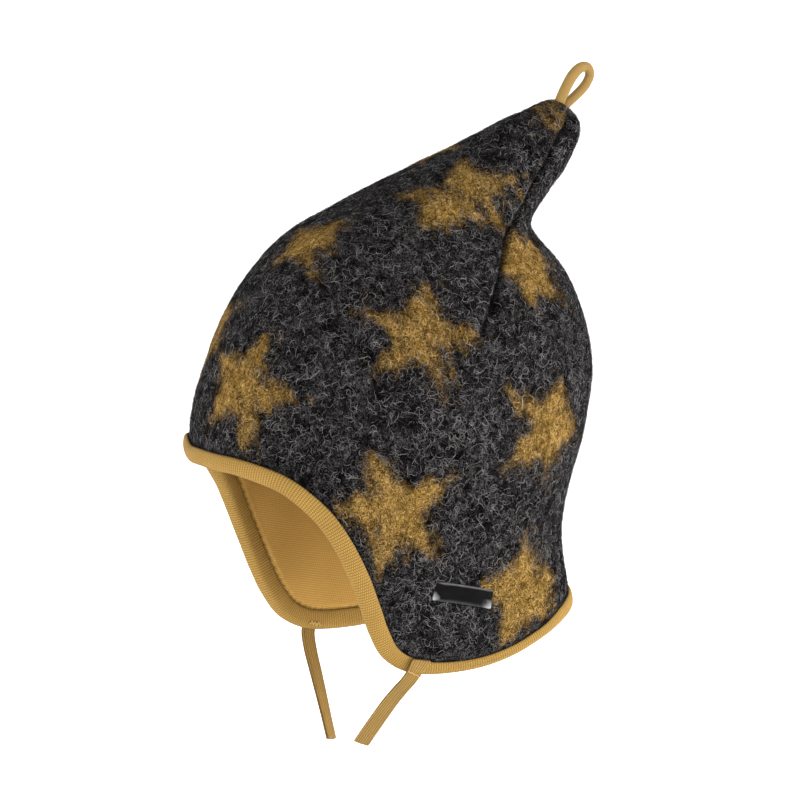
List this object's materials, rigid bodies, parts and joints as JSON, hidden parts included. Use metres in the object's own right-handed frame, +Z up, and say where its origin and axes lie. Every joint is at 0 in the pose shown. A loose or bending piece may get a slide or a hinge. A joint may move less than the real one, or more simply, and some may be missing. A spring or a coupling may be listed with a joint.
{
  "type": "pointed cap",
  "caption": "Child's pointed cap of felted wool with a leaning cone, cheek flaps, bound rim, lining, chin ties and a hanging loop.",
  "frame": {"origin": "middle of the head hollow, level with the rim over the brow, where the wearer's head holds the cap", "axes": "+Z up through the crown, the face opening looks along -Y, the wearer's left is +X"},
  "size_m": [0.142, 0.1829, 0.2881],
  "materials": {
    "felt": "charcoal boiled wool with light curly fibres and felted mustard stars",
    "jersey": "fine mustard jersey knit",
    "rib_strip": "ribbed mustard strip",
    "loop_strip": "folded mustard jersey strip",
    "tab": "smooth black tab, bare"
  },
  "bodies": {
    "root": {"felt_crown": "felt", "lining": "jersey", "rim_binding": "rib_strip", "tip_loop": "loop_strip", "tie_left": "rib_strip", "tie_right": "rib_strip", "label": "tab"}
  },
  "joints": []
}
